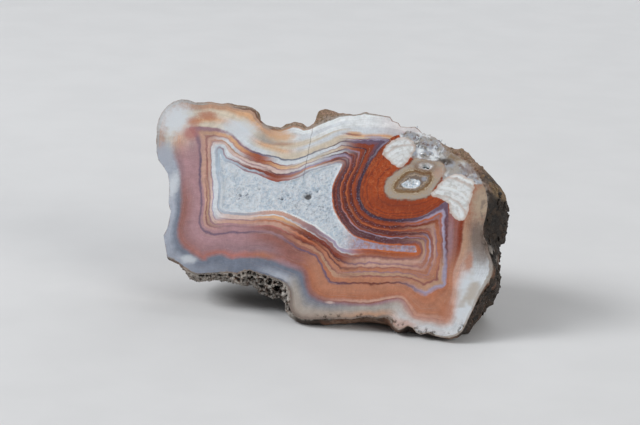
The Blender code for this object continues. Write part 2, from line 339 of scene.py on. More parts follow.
# Open pockets in the face: (u, v), half width and depth in millimetres
POCKETS = (
    ((-2.8, 24.0), 1.0, 0.6), ((-7.4, 23.1), 0.45, 0.4), ((-15.0, 23.0), 0.4, 0.35), ((0.3, 22.3), 0.4, 0.35),
    ((-1.3, 25.2), 0.4, 0.35), ((14.6, 27.9), 0.3, 0.5), ((15.8, 28.3), 0.8, 0.25),
    ((17.05, 31.85), 0.6, 1.2), ((17.75, 31.75), 0.55, 1.1), ((-6.4, 23.9), 0.35, 0.3),
    ((3.2, 18.6), 0.35, 0.3), ((-11.8, 24.6), 0.35, 0.3), ((-4.6, 22.0), 0.35, 0.3),
    ((1.2, 20.6), 0.3, 0.25), ((20.6, 32.9), 0.5, 0.35),
)

face_low, face_high = rim_line.min(0), rim_line.max(0)
rows = np.arange(face_low[1], face_high[1], FACE_STEP * math.sqrt(3) / 2)
grid = []
for number, v in enumerate(rows):
    u = np.arange(face_low[0] + (number % 2) * FACE_STEP / 2, face_high[0], FACE_STEP)
    grid.append(np.stack((u, np.full(len(u), v)), axis=1))
grid = np.concatenate(grid)
rim_distance, _ = nearest_on(rim_line, grid)
grid = grid[inside(rim_line, grid) & (rim_distance > FACE_STEP * 0.55)]

count = len(rim_line)
rim_edges = [(i, (i + 1) % count) for i in range(count)]
flat_points = [Vector(point) for point in np.concatenate((rim_line, grid))]
filled = geometry.delaunay_2d_cdt(flat_points, rim_edges, [], 1, MERGED_POINTS)
made_points, _, made_faces, origins, _, _ = filled
face_uv = np.array([point[:] for point in made_points])

druse_depth = depth_inside(DRUSE_LINE, face_uv)
crystal_depth = depth_inside(CRYSTAL_LINE, face_uv)
centre_depth = depth_inside(CENTRE_LINE, face_uv)
sink = 0.14 * smooth_step(0.0, 0.35, druse_depth)
for i, (u, v) in enumerate(face_uv):
    at = Vector((u, v, 0.0))
    if druse_depth[i] > 0.0:
        grip = smooth_step(0.0, 0.5, druse_depth[i])
        near, second = noise.voronoi(at / 0.55)[0][:2]
        sink[i] += grip * 0.10 * (1.0 - smooth_step(0.0, 0.4, second - near))
        sink[i] += grip * 0.07 * noise.noise(at / 1.3)
    if crystal_depth[i] > 0.0:
        grip = smooth_step(0.0, 0.8, crystal_depth[i])
        near, second = noise.voronoi(at / 0.95)[0][:2]
        sink[i] += grip * (0.16 * noise.noise(at / 1.7) + 0.18 + 0.16 * (near - 0.4))
for centre, half_width, depth in POCKETS:
    reach = np.linalg.norm((face_uv - centre) * (1.0, 1.25), axis=1)
    reach *= 1.0 + 0.18 * np.array([noise.noise(Vector((u, v, depth)) / 0.45) for u, v in face_uv])
    sink += depth * (1.0 - smooth_step(0.35 * half_width, half_width, reach))
from_rim, _ = nearest_on(rim_line, face_uv)
sink *= smooth_step(0.0, 0.6, from_rim)
face_places = to_world(np.column_stack((face_uv, np.maximum(sink, 0.0))))

# Joins the face to the skin along the rim
index_of_point = {new: rim_index[old[0]] for new, old in enumerate(origins) if old and old[0] < count}
extra = [new for new in range(len(face_uv)) if new not in index_of_point]
index_of_point.update({new: len(skin_places) + number for number, new in enumerate(extra)})
all_places = np.concatenate((skin_places, face_places[extra]))
polished_faces = [[index_of_point[i] for i in face] for face in made_faces]

# The stone as one closed mesh
stone_mesh = bpy.data.meshes.new("stone")
stone_mesh.from_pydata([tuple(place) for place in all_places], [], skin_faces + polished_faces)
stone_mesh.update()
material_index = np.zeros(len(stone_mesh.polygons), np.int32)
material_index[len(skin_faces):] = 1
stone_mesh.polygons.foreach_set("material_index", material_index)
stone_mesh.polygons.foreach_set("use_smooth", np.ones(len(stone_mesh.polygons), bool))
rim_pairs = {frozenset(pair) for pair in zip(rim_index, rim_index[1:] + rim_index[:1])}
sharp = stone_mesh.attributes.new("sharp_edge", "BOOLEAN", "EDGE")
sharp.data.foreach_set("value", [frozenset(edge.vertices) in rim_pairs for edge in stone_mesh.edges])


# Bands of the polished face
# Iron-stained chalcedony in layers, from the quartz outwards: 0 is the edge of the quartz, 1 the violet line,
# 2 the outside of the rose band and 3 the rim. Each stretch of the violet line has its own order of colours.

def store(mesh, name, values, rows=None):
    """Keeps one number or one vector a vertex in the mesh; rows are the vertices that the values are for."""
    values = np.asarray(values, np.float32)
    kind, field = ("FLOAT_VECTOR", "vector") if values.ndim == 2 else ("FLOAT", "value")
    whole = np.zeros((len(mesh.vertices),) + values.shape[1:], np.float32)
    whole[slice(None) if rows is None else rows] = values
    mesh.attributes.new(name, kind, "POINT").data.foreach_set(field, whole.ravel())


COLOURS = {
    "snow": (224, 228, 230), "milk": (204, 209, 214), "ice": (170, 184, 197), "mist": (158, 164, 176),
    "slate": (106, 113, 128), "lilac": (160, 152, 174), "violet": (104, 84, 104), "night": (66, 44, 58),
    "plum": (88, 50, 54), "maroon": (94, 40, 34), "rust": (126, 54, 32), "burnt": (150, 68, 34),
    "orange": (182, 98, 56), "eye_orange": (160, 68, 28), "terracotta": (170, 108, 80),
    "clay": (176, 120, 94), "tan": (178, 142, 118), "peach": (208, 164, 126), "cream": (204, 192, 174),
    "blush": (190, 150, 134), "pale_pink": (206, 182, 174), "coral": (172, 108, 100),
    "mauve": (148, 116, 122), "rose": (166, 128, 133), "rosewood": (142, 92, 84), "brown": (108, 74, 54),
    "ash": (160, 154, 147), "core": (172, 154, 134), "smoke": (120, 106, 97), "gold": (140, 116, 84),
    "bark": (56, 44, 34), "soot": (24, 20, 17), "bone": (180, 173, 165),
}
# For each stretch: a place on the violet line, and its bands from the quartz outwards. Each band has its
# start, its colour and, where it isn't sharp, how soft its start is. Both numbers are in hundredths.
STRETCHES = (
    ((-23.5, 35.8), "0 ice, 14 mist, 30 blush, 44 mauve, 50 blush, 64 rosewood, 72 tan, 86 mauve 4, "
     "106 cream 5, 150 peach 20, 190 cream 20, 250 tan 10, 285 ash"),
    ((-18.0, 34.2), "0 ice, 12 mauve, 20 milk, 36 pale_pink, 48 tan, 54 milk, 68 blush, 76 peach, "
     "90 mauve 3, 102 milk 5, 200 cream 10, 240 peach 15, 275 tan, 290 brown"),
    ((-12.0, 31.5), "0 mauve, 8 ice, 16 rust, 27 pale_pink, 36 mauve, 41 pale_pink, 52 rosewood, "
     "57 burnt 4, 88 violet, 98 milk 3, 135 cream 10, 160 peach 10, 195 ash 10, 250 tan 10, 290 brown"),
    ((-9.6, 31.2), "0 burnt, 16 rust 4, 30 maroon, 35 pale_pink, 50 mauve, 54 peach, 68 rosewood, "
     "73 milk, 93 slate, 100 cream, 140 peach 15, 165 cream 10, 190 tan 10, 215 cream 10, 260 milk, "
     "288 tan"),
    ((-4.6, 32.1), "0 mist, 8 milk, 16 blush, 26 lilac, 34 milk, 46 mauve, 50 cream, 62 ash, 66 milk, "
     "90 slate, 97 cream, 140 milk 15, 170 cream 10, 210 milk 10, 260 snow, 288 tan"),
    ((0.0, 34.8), "0 mist, 7 blush, 15 maroon, 22 rust, 28 lilac, 42 night, 46 milk, 56 plum, 60 cream, "
     "70 mauve, 73 milk, 87 night, 91 cream 3, 130 milk 10, 170 cream 10, 185 snow, 220 milk, 250 snow, "
     "290 ash"),
    ((4.6, 36.0), "0 ice, 10 lilac, 20 snow, 26 plum, 32 lilac, 37 night, 43 burnt, 50 night, 56 lilac, "
     "60 burnt, 70 night, 74 rust, 87 violet, 98 lilac, 102 rust, 107 cream, 120 peach 8, 140 milk 10, "
     "200 snow 10, 290 ash"),
    ((6.2, 27.0), "0 orange, 4 maroon, 14 rust, 18 plum, 31 orange, 35 rust, 42 maroon, 53 orange, "
     "57 rust, 64 maroon, 75 burnt, 84 rust, 92 night, 109 burnt"),
    ((12.5, 20.8), "0 orange, 6 plum, 30 lilac, 34 burnt, 40 maroon, 57 orange, 62 rust, 68 maroon, "
     "78 burnt, 86 rust, 93 night, 104 burnt"),
    ((20.5, 24.0), "0 burnt, 10 mauve, 20 tan, 27 rust, 36 blush, 42 maroon, 50 orange, 56 plum, 62 tan, "
     "70 rust, 78 mauve, 83 orange, 88 lilac, 93 violet, 103 burnt"),
    ((23.3, 18.0), "0 orange, 12 rosewood, 20 tan, 28 mauve, 34 terracotta, 42 lilac, 47 rosewood, "
     "56 blush, 63 mauve, 68 terracotta, 80 rosewood, 86 lilac, 93 maroon 3, 102 mauve 6, "
     "135 rosewood 10, 165 rust 10, 195 tan 6, 230 smoke 20"),
    ((24.2, 10.5), "0 orange, 14 rosewood, 22 blush, 34 rosewood, 38 clay, 56 mauve, 60 clay, "
     "74 rosewood, 79 tan, 90 lilac 3, 100 terracotta 4, 130 clay 15, 190 blush 15, 230 milk 20, 290 ash"),
    ((12.0, 8.2), "0 orange 2, 15 terracotta, 20 rosewood, 26 blush 3, 38 mauve, 43 blush, 50 rosewood, "
     "53 clay, 62 mauve, 66 tan, 74 rosewood, 78 clay, 93 maroon, 98 clay 3, 150 terracotta 15, "
     "178 blush 6, 192 rosewood 2, 200 mauve 3, 215 ash 10, 260 tan 20, 285 smoke 10"),
    ((1.8, 11.0), "0 snow, 2 lilac 2, 14 milk, 17 rosewood, 26 rust, 36 maroon, 44 terracotta, 52 plum, "
     "57 clay 2, 68 rosewood, 73 tan, 82 terracotta, 93 violet, 100 clay 4, 150 terracotta 15, "
     "180 rosewood 10, 200 slate 15, 240 ash 20, 285 smoke 10"),
    ((-2.5, 13.6), "0 snow, 3 mauve 3, 26 milk, 29 rust, 42 maroon 3, 52 orange, 60 rust, 68 maroon, "
     "73 clay 3, 84 rosewood, 93 violet, 100 rosewood 5, 180 mauve 10, 200 slate 12, 250 mist 20, "
     "290 slate"),
    ((-8.0, 16.0), "0 blush 3, 20 milk, 25 peach, 36 blush, 42 terracotta, 50 blush 3, 66 coral, "
     "72 rosewood, 90 mauve 3, 100 rosewood 4, 140 mauve 20, 175 terracotta 10, 197 slate 10"),
    ((-14.0, 15.6), "0 milk, 5 mist, 16 pale_pink, 36 mauve, 41 blush, 56 rose, 66 mauve, 72 rose 4, "
     "94 violet 3, 102 rose 4, 140 mauve 20, 180 coral 10, 202 slate 12"),
    ((-21.8, 20.0), "0 milk, 10 ice, 18 mist, 22 milk, 42 lilac, 47 pale_pink, 56 mauve, 61 tan, "
     "70 rosewood, 75 blush, 84 rose, 94 violet 3, 101 rose 4, 160 rosewood 30, 200 slate 20, 250 mist 20"),
    ((-23.8, 29.0), "0 ice, 24 milk 3, 42 mauve, 46 blush, 60 rosewood, 68 blush 3, 90 violet 3, "
     "101 rose 5, 185 mauve 12, 210 mist 20"),
)

TINY = 1e-6
violet_line, rose_line = smooth_line(VIOLET_LINE), smooth_line(ROSE_LINE)
to_violet, along_violet = nearest_on(violet_line, face_uv)
to_rose, _ = nearest_on(rose_line, face_uv)
in_violet, in_rose = inside(violet_line, face_uv), inside(rose_line, face_uv)
past_violet = to_violet / (to_violet + to_rose + TINY)
past_rose = to_rose / (to_rose + from_rim + TINY)
band = np.where(in_rose, 1.0 + past_violet, 2.0 + past_rose)
to_druse = np.abs(druse_depth)
band = np.where(in_violet, to_druse / (to_druse + to_violet + TINY), band)
band = np.where(druse_depth > 0, -to_druse / 4.0, band)
core_depth = depth_inside(CORE_LINE, face_uv)
to_core = np.maximum(-core_depth, 0.0)

# How much each stretch counts at each place: by the nearest place on the violet line, then blurred a little,
# worked out on a coarse grid
CELL, BLUR, BLUR_CELLS = 0.4, 1.0, 8
CHANNELS = 21
cells_u, cells_v = (np.arange(face_low[axis] - 2.0, face_high[axis] + 2.0, CELL) for axis in (0, 1))
cells = np.stack(np.meshgrid(cells_u, cells_v, indexing="ij"), axis=-1).reshape(-1, 2)
along_cells = nearest_on(violet_line, cells)[1]
stretch_at = nearest_on(violet_line, np.array([stretch[0] for stretch in STRETCHES]))[1]
order = np.argsort(stretch_at)
line_length = np.linalg.norm(np.roll(violet_line, -1, 0) - violet_line, axis=1).sum()
cell_shares = np.zeros((len(cells), CHANNELS))
for a, b in zip(order, np.roll(order, -1)):
    span = (stretch_at[b] - stretch_at[a]) % line_length
    share = ((along_cells - stretch_at[a]) % line_length) / span
    here = share < 1.0
    blend = smooth_step(0.1, 0.9, share[here])
    cell_shares[here, a] += 1.0 - blend
    cell_shares[here, b] += blend
cell_shares = cell_shares.reshape(len(cells_u), len(cells_v), CHANNELS)
reach = np.arange(-BLUR_CELLS, BLUR_CELLS + 1)
bell = np.exp(-0.5 * (reach * CELL / BLUR) ** 2)
bell /= bell.sum()
for axis in (0, 1):
    cell_shares = sum(weight * np.roll(cell_shares, step, axis) for step, weight in zip(reach, bell))
at_u, at_v = (face_uv[:, 0] - cells_u[0]) / CELL, (face_uv[:, 1] - cells_v[0]) / CELL
i, j = at_u.astype(int), at_v.astype(int)
du, dv = (at_u - i)[:, None], (at_v - j)[:, None]
shares = (
    cell_shares[i, j] * (1 - du) * (1 - dv) + cell_shares[i + 1, j] * du * (1 - dv)
    + cell_shares[i, j + 1] * (1 - du) * dv + cell_shares[i + 1, j + 1] * du * dv
)

face_rows = np.array([index_of_point[i] for i in range(len(face_uv))])
store(stone_mesh, "place", to_face(all_places))
store(stone_mesh, "band", band, face_rows)
store(stone_mesh, "along", along_violet, face_rows)
store(stone_mesh, "eye", to_violet / (to_violet + to_core + TINY), face_rows)
for number in range(CHANNELS // 3):
    store(stone_mesh, f"stretch_{number}", shares[:, number * 3:number * 3 + 3], face_rows)
for name, depth in (
    ("druse", druse_depth), ("crystal", crystal_depth), ("centre", centre_depth), ("core", core_depth),
    ("ring", depth_inside(RING_LINE, face_uv)), ("eye_depth", depth_inside(EYE_LINE, face_uv)),
    ("left_fan", depth_inside(LEFT_FAN_LINE, face_uv)), ("right_fan", depth_inside(RIGHT_FAN_LINE, face_uv)),
    ("white", depth_inside(WHITE_LINE, face_uv)), ("rim", from_rim), ("sink", sink),
):
    store(stone_mesh, name, depth, face_rows)
store(stone_mesh, "hollow", skin_hollow, np.arange(len(skin_places)))
store(stone_mesh, "matrix", matrix_share(to_face(skin_places)), np.arange(len(skin_places)))


def linear(name):
    """A named colour as linear red, green, blue and alpha."""
    parts = [part / 255 for part in COLOURS[name]]
    parts = [part / 12.92 if part <= 0.04045 else ((part + 0.055) / 1.055) ** 2.4 for part in parts]
    return (*parts, 1.0)


def bands_of(text):
    """Reads bands such as 14 mist, 86 mauve 4: start, colour and own softness, in hundredths."""
    words = [band.split() for band in text.split(",")]
    return [(int(start) / 100, colour, *(int(soft) / 100 for soft in own)) for start, colour, *own in words]


class Shader:
    """A material's node tree, with short ways to add the nodes used here."""

    def __init__(self, name):
        self.material = bpy.data.materials.new(name)
        self.material.use_nodes = True
        self.tree = self.material.node_tree
        self.surface = self.tree.nodes["Principled BSDF"]

    def add(self, kind, *inputs, **settings):
        """Adds a node; each input is a value, a socket to link, or None to leave as it is."""
        node = self.tree.nodes.new("ShaderNode" + kind)
        for key, value in settings.items():
            setattr(node, key, value)
        for socket, value in zip(node.inputs, inputs):
            self.put(socket, value)
        return node

    def put(self, socket, value):
        if isinstance(value, bpy.types.NodeSocket):
            self.tree.links.new(value, socket)
        elif value is not None:
            socket.default_value = value

    def put_all(self, node, values):
        for name, value in values.items():
            self.put(node.inputs[name], value)

    def math(self, operation, a, b=None, c=None):
        return self.add("Math", a, b, c, operation=operation).outputs[0]

    def times(self, *factors):
        product = factors[0]
        for factor in factors[1:]:
            product = self.math("MULTIPLY", product, factor)
        return product

    def vary(self, x, pattern, amount, middle=0.5):
        """Moves x up and down by an amount of a pattern."""
        return self.math("MULTIPLY_ADD", self.math("SUBTRACT", pattern, middle), amount, x)

    def value(self, name):
        return self.add("Attribute", attribute_name=name).outputs["Fac"]

    def vector(self, name):
        return self.add("Attribute", attribute_name=name).outputs["Vector"]

    def scaled(self, vector, by):
        return self.add("VectorMath", vector, by, operation="MULTIPLY").outputs[0]

    def distance(self, place, centre):
        offset = self.add("VectorMath", place, centre, operation="SUBTRACT").outputs[0]
        return self.add("VectorMath", offset, operation="LENGTH").outputs["Value"]

    def noise(self, vector, scale, detail=3.0, roughness=0.55):
        node = self.add("TexNoise", vector)
        self.put_all(node, {"Scale": scale, "Detail": detail, "Roughness": roughness})
        return node.outputs["Fac"]

    def voronoi(self, vector, scale):
        node = self.add("TexVoronoi", vector)
        self.put(node.inputs["Scale"], scale)
        return node.outputs["Distance"]

    def between(self, x, low, high, start=0.0, end=1.0):
        """Goes smoothly from start to end as x goes from low to high."""
        return self.add("MapRange", x, low, high, start, end, interpolation_type="SMOOTHSTEP").outputs[0]

    def mix(self, share, a, b):
        a, b = (linear(colour) if isinstance(colour, str) else colour for colour in (a, b))
        return self.add("MixRGB", share, a, b).outputs[0]

    def stain(self, colour, *tints):
        """Lays tints over a colour in turn, each from none to its most as its x goes from low to high."""
        for tint, x, low, high, most in tints:
            colour = self.mix(self.between(x, low, high, 0.0, most), colour, tint)
        return colour

    def ramp(self, x, bands, soft=0.012, top=3.0):
        """Colours along x: each starts at its place, with a soft step to the next."""
        if len(bands) > 16:
            half = len(bands) // 2
            switch = self.math("GREATER_THAN", x, (bands[half][0] + bands[half + 1][0]) / 2)
            halves = [self.ramp(x, part, soft, top) for part in (bands[:half + 1], bands[half:])]
            return self.mix(switch, *halves)
        node = self.add("ValToRGB", self.math("DIVIDE", x, top))
        stops = [(0.0, bands[0][1])]
        for before, (start, colour, *own_soft) in zip(bands, bands[1:]):
            edge = own_soft[0] if own_soft else soft
            stops += [((start - edge) / top, before[1]), ((start + edge) / top, colour)]
        elements = node.color_ramp.elements
        elements.remove(elements[1])
        for number, (at, colour) in enumerate(stops):
            element = elements[0] if number == 0 else elements.new(at)
            element.position = at
            element.color = linear(colour)
        return node.outputs[0]

    def spot(self, place, centre, reach):
        """1 at the centre of a soft patch on the face, 0 beyond its reach along u and v."""
        offset = self.add("VectorMath", place, centre + (0.0,), operation="SUBTRACT").outputs[0]
        offset = self.scaled(offset, (1.0 / reach[0], 1.0 / reach[1], 0.0))
        distance = self.add("VectorMath", offset, operation="LENGTH").outputs["Value"]
        distance = self.math("MULTIPLY_ADD", self.noise(place, 1.3, 4.0, 0.6), 0.9, distance)
        return self.between(distance, 0.75, 1.6, 1.0, 0.0)

    def spots(self, colour, place, patches):
        """Lays soft patches over a colour; each has its centre, reach along u and v, tint and strength."""
        for centre, reach, tint, strength in patches:
            colour = self.mix(self.times(self.spot(place, centre, reach), strength), colour, tint)
        return colour

    def finish(self, colour, roughness, height, strength, distance, others):
        """Paints the surface and bumps it by the height."""
        bump = self.add("Bump")
        self.put_all(bump, {"Strength": strength, "Distance": distance, "Height": height})
        self.put_all(self.surface, {"Base Color": colour, "Roughness": roughness, "Normal": bump.outputs[0]})
        self.put_all(self.surface, others)


face = Shader("polished_agate")
place = face.vector("place")
along_u, along_v, _ = face.add("SeparateXYZ", place).outputs
slow = face.noise(place, 0.32, 2.0)
medium = face.noise(place, 1.1, 3.0)
fine = face.noise(place, 5.0, 3.0)
wobble = face.vary(face.vary(face.vary(0.0, slow, 0.10), medium, 0.055), fine, 0.02)
wobble = face.vary(wobble, face.voronoi(place, 1.1), 0.05, 0.45)
level = face.math("ADD", face.value("band"), wobble)

banded = (0.0, 0.0, 0.0)
for number, (_, bands) in enumerate(STRETCHES):
    if number % 3 == 0:
        three = face.add("SeparateXYZ", face.vector(f"stretch_{number // 3}"))
    weight = face.add("CombineXYZ", *[three.outputs[number % 3]] * 3).outputs[0]
    colours = face.ramp(level, bands_of(bands))
    banded = face.add("VectorMath", colours, weight, banded, operation="MULTIPLY_ADD").outputs[0]

# Fine layers along the bands and fibres across them
along = face.value("along")
layers_at = face.add("CombineXYZ", face.times(level, 30.0), face.times(along, 0.1)).outputs[0]
layers = face.noise(layers_at, 1.0, 4.0, 0.65)
fibres_at = face.add("CombineXYZ", face.times(level, 2.5), face.times(along, 3.2)).outputs[0]
shade = 1.0
for pattern, amount in ((layers, 0.9), (face.noise(fibres_at, 1.0, 3.0), 0.3), (slow, 0.45), (medium, 0.45)):
    shade = face.vary(shade, pattern, amount)
colour = face.scaled(banded, face.add("CombineXYZ", shade, shade, shade).outputs[0])
colour = face.stain(colour, ("violet", layers, 0.57, 0.68, 0.4), ("pale_pink", layers, 0.42, 0.32, 0.35))
# Bright grains in the darkest bands, painted as sparkle: a painted glint on each grain
darkness = face.between(face.add("RGBToBW", colour).outputs[0], 0.085, 0.04)
grains = face.between(face.voronoi(place, 3.6), 0.3, 0.12, 0.0, 0.75)
colour = face.mix(face.times(darkness, grains), colour, "lilac")
colour = face.spots(colour, place, (
    ((-30.0, 37.0), (4.0, 4.2), "milk", 0.95), ((-26.4, 36.8), (1.8, 1.2), "terracotta", 0.7),
    ((-26.6, 34.4), (1.8, 1.9), "coral", 0.8), ((-24.2, 38.2), (2.4, 1.3), "terracotta", 0.8),
    ((-30.8, 29.6), (2.2, 3.2), "mist", 0.9), ((-27.7, 23.8), (1.3, 3.2), "milk", 0.75),
    ((-17.4, 36.2), (4.0, 2.2), "milk", 0.8), ((-21.0, 41.0), (6.0, 0.8), "tan", 0.7),
    ((-9.9, 35.4), (3.2, 1.4), "peach", 0.75), ((-12.6, 37.4), (1.4, 1.2), "ash", 0.7),
    ((-22.0, 9.7), (2.0, 1.0), "milk", 0.65), ((4.6, 4.2), (1.0, 0.35), "pale_pink", 0.7),
    ((3.2, 36.9), (2.0, 0.35), "rust", 0.8), ((3.6, 37.2), (1.8, 0.4), "peach", 0.8),
    ((7.6, 36.6), (2.2, 0.5), "lilac", 0.7), ((27.7, 14.2), (0.9, 2.6), "clay", 0.7),
    # The bark patch at (30.2, 22.0) is painted shade of the broken hollow at the right edge
    ((28.6, 19.5), (1.1, 3.4), "smoke", 0.6), ((30.2, 22.0), (1.4, 7.0), "bark", 0.75),
    ((29.6, 15.5), (1.6, 2.0), "smoke", 0.5), ((28.6, 26.0), (3.0, 5.4), "core", 0.95),
    ((29.6, 28.8), (1.6, 1.3), "gold", 0.8), ((25.2, 4.8), (1.6, 2.2), "terracotta", 0.6),
    ((18.0, 1.6), (3.0, 1.2), "blush", 0.6), ((12.0, 18.2), (9.0, 1.0), "plum", 0.35),
    ((-24.8, 31.5), (2.0, 3.2), "mauve", 0.4),
))

# The smoky margin at the right, broken and dark towards the skin: the bark tint is painted shade of its
# broken hollow
mottle = face.noise(face.scaled(place, (1.0, 0.5, 1.0)), 1.1, 5.0, 0.65)
for centre, reach, tint, low, high, most in (
    ((29.0, 23.0), (2.2, 7.0), "smoke", 0.47, 0.6, 0.75), ((30.4, 21.0), (1.4, 4.5), "bark", 0.55, 0.45, 0.9),
):
    margin = face.times(face.spot(place, centre, reach), face.between(mottle, low, high, 0.0, most))
    colour = face.mix(margin, colour, tint)


def region(name, soft=0.08, ragged=0.35):
    """1 inside a region of the face and 0 outside, with a slightly ragged edge."""
    return face.between(face.vary(face.value(name), medium, ragged), -soft, soft)


# The white corner at the lower right
colour = face.mix(region("white", 1.1, 0.8), colour, face.stain("bone", ("milk", slow, 0.38, 0.6, 1.0)))

# The body of the eye: orange, with finer lines towards its core
eye_level = face.vary(face.vary(face.value("eye"), medium, 0.16), slow, 0.2)
EYE_BANDS = (
    "0 rust, 8 burnt, 15 rust, 20 eye_orange, 29 rust, 33 eye_orange, 46 burnt, 54 eye_orange, 70 rust, "
    "74 eye_orange, 96 rust"
)
streaks = face.noise(face.scaled(place, (1.0, 0.45, 1.0)), 1.8, 5.0, 0.7)
eye_colour = face.stain(
    face.ramp(eye_level, bands_of(EYE_BANDS), 0.03, 1.0),
    ("orange", streaks, 0.53, 0.68, 0.75), ("maroon", streaks, 0.46, 0.34, 0.5),
)
swirl = face.math("ABSOLUTE", face.math("SUBTRACT", face.noise(place, 0.9, 3.0, 0.6), 0.5))
swirl_share = face.times(face.between(swirl, 0.03, 0.01, 0.0, 0.7), face.spot(place, (9.6, 29.5), (4.0, 5.5)))
eye_colour = face.mix(swirl_share, eye_colour, "orange")
eye_colour = face.spots(eye_colour, place, (((14.0, 24.0), (7.0, 1.8), "rust", 0.6),))
eye_edge = face.vary(face.value("eye"), fine, 0.03)
eye_mask = face.times(region("eye_depth", 0.05, 0.0), face.between(eye_edge, 0.035, 0.06))
colour = face.mix(eye_mask, colour, eye_colour)

# Clear grey crystals above the eye, stained gold and brown along the top
crystal_colour = face.stain(
    "ash", ("mist", face.noise(place, 0.6, 4.0, 0.6), 0.38, 0.6, 1.0),
    ("smoke", face.noise(place, 1.6, 4.0, 0.7), 0.52, 0.64, 0.6),
    ("snow", face.voronoi(place, 0.8), 0.55, 0.8, 0.8),
    ("brown", face.noise(place, 0.9, 4.0), 0.54, 0.66, 0.7),
)
crystal_colour = face.spots(crystal_colour, place, (
    ((23.6, 34.4), (4.4, 1.8), "gold", 0.8), ((20.6, 33.2), (1.8, 0.9), "bark", 0.9),
    ((25.6, 32.2), (2.0, 1.6), "brown", 0.7), ((22.2, 31.6), (2.4, 1.2), "ash", 0.7),
    ((18.5, 33.9), (1.3, 0.5), "snow", 0.9), ((15.9, 35.0), (0.9, 0.9), "snow", 0.9),
))
crystal_mask = region("crystal", 0.15, 1.2)
colour = face.mix(crystal_mask, colour, crystal_colour)

# The core of the eye: grey-brown chalcedony, gold and brown rings, a white quartz centre and a slot above
core_grain = face.noise(place, 2.2, 5.0, 0.7)
ring_level = face.vary(face.value("ring"), core_grain, 1.5)
RING_BANDS = (
    "0 core, 50 gold 6, 60 cream, 70 gold 5, 95 brown 10, 115 gold 10, 135 smoke 10, 160 core 10, "
    "175 smoke 10"
)
ring_colour = face.ramp(face.math("ADD", ring_level, 1.0), bands_of(RING_BANDS), 0.03, 2.5)
core_colour = face.stain(
    "core", ("ash", core_grain, 0.4, 0.62, 1.0), ("brown", face.value("core"), 0.35, 0.0, 0.5),
    ("cream", core_grain, 0.55, 0.7, 0.5), (ring_colour, ring_level, -0.8, -0.4, 1.0),
)
core_colour = face.spots(core_colour, place, (
    ((17.3, 31.6), (2.8, 1.5), "brown", 0.7), ((17.4, 31.8), (1.5, 0.8), "snow", 0.95),
    ((17.5, 29.3), (0.6, 0.6), "mist", 0.7), ((20.0, 30.6), (1.4, 1.6), "blush", 0.4),
))
colour = face.mix(region("core", 0.25, 1.0), colour, core_colour)
centre_colour = face.stain("ice", ("snow", face.noise(place, 3.5, 4.0, 0.7), 0.42, 0.58, 1.0))
colour = face.mix(region("centre", 0.1, 0.6), colour, centre_colour)

# The white fans: milky chalcedony with fine growth lines and grey patches of painted shade
for name, hub in (("left_fan", (14.2, 30.4, 0.0)), ("right_fan", (21.0, 21.0, 0.0))):
    from_hub = face.math("ADD", medium, face.distance(place, hub))
    growth = face.noise(face.add("CombineXYZ", from_hub, 0.0, 0.0).outputs[0], 1.1, 3.0, 0.5)
    fan_colour = face.stain(
        face.mix(face.between(growth, 0.3, 0.6, 0.3), "bone", "snow"), ("blush", growth, 0.46, 0.34, 0.35),
        # The ash tint is painted shade
        ("cream", growth, 0.6, 0.7, 0.6), ("ash", medium, 0.54, 0.38, 0.4),
        ("tan", face.value(name), 0.7, 0.0, 0.5),
    )
    colour = face.mix(region(name, 0.08, 0.7), colour, fan_colour)

# Sugary quartz: bluish white grains with dark specks, lilac in its long tongue, painted shade in its pits, a
# bright seam along its edge
sugar = face.noise(place, 1.5, 5.0, 0.75)
druse_colour = face.stain(
    "ice", ("milk", sugar, 0.4, 0.6, 1.0), ("milk", face.noise(place, 0.45, 3.0), 0.42, 0.62, 0.7),
)
speck_area = face.spot(place, (-1.0, 22.0), (9.0, 6.0))
for centre, reach in (((-2.8, 24.3), (3.0, 1.8)), ((-15.0, 23.2), (2.6, 1.6)), ((-7.0, 23.3), (2.2, 1.3))):
    speck_area = face.math("MAXIMUM", speck_area, face.times(face.spot(place, centre, reach), 1.6))
specks = face.between(face.noise(place, 1.9, 4.0, 0.7), 0.52, 0.64)
speck_share = face.times(specks, face.math("MULTIPLY_ADD", speck_area, 0.5, 0.06))
glints = face.between(face.voronoi(place, 1.9), 0.18, 0.08, 0.0, 0.5)
druse_colour = face.mix(glints, face.mix(speck_share, druse_colour, "slate"), "snow")
tongue_colour = face.stain(
    "mauve", ("lilac", sugar, 0.4, 0.56, 1.0), ("clay", face.noise(place, 1.8, 4.0), 0.52, 0.62, 0.7),
)
tongue_colour = face.mix(glints, tongue_colour, "milk")
# Painted shade: dark brown the deeper the pits sink
druse_colour = face.stain(
    druse_colour, (tongue_colour, along_u, 3.5, 8.5, 1.0), ("bark", face.value("sink"), 0.36, 0.75, 0.8),
)
druse_mask = region("druse", 0.04, 0.3)
colour = face.mix(druse_mask, colour, druse_colour)
# Painted shade: near black at the bottom of the deepest pits and of the slot
colour = face.stain(colour, ("soot", face.value("sink"), 0.8, 1.1, 0.95))
seam = face.math("ABSOLUTE", face.vary(face.value("druse"), fine, 1.0))
seam_area = face.spot(place, (-3.0, 18.5), (11.0, 4.5))
colour = face.mix(face.times(face.between(seam, 0.2, 0.06), seam_area), colour, "snow")

# A hairline crack down from the top edge, at this u and above this v
CRACK_U, CRACK_FOOT = -4.2, 26.5
from_crack = face.math("ABSOLUTE", face.math("SUBTRACT", face.vary(along_u, medium, 0.5), CRACK_U))
above_foot = face.between(along_v, CRACK_FOOT, CRACK_FOOT + 2.0)
crack = face.times(face.between(from_crack, 0.09, 0.03), above_foot, 0.5)
colour = face.mix(crack, colour, "bark")

